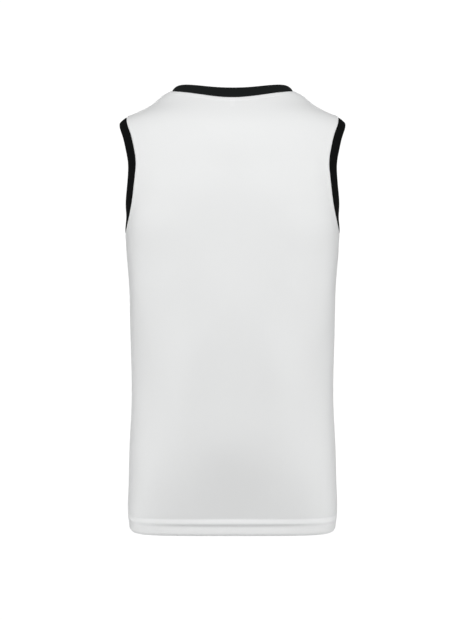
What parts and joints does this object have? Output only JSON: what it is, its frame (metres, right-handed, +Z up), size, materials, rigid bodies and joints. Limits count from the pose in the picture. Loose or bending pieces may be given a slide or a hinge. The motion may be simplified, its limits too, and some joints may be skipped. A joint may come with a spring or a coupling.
{
  "type": "basketball jersey",
  "caption": "Sleeveless knit basketball jersey, filled out as worn, with rib bands round the neck and armholes and a stitched hem.",
  "frame": {"origin": "midway between the two points where the neck seam crosses the shoulder seams, where the wearer's shoulders carry the jersey", "axes": "+Z up, -Y towards the jersey's front, +X towards the wearer's left"},
  "size_m": [0.377, 0.2508, 0.7497],
  "materials": {
    "jersey_knit": "matte white polyester knit with a faint sheen",
    "neck_rib": "matte black rib knit",
    "arm_rib": "matte black rib knit",
    "woven_tape": "smooth white woven tape"
  },
  "bodies": {
    "root": {"back_panel": "jersey_knit", "front_panel": "jersey_knit", "neck_band": "neck_rib", "left_arm_band": "arm_rib", "right_arm_band": "arm_rib", "neck_tab": "woven_tape"}
  },
  "joints": []
}
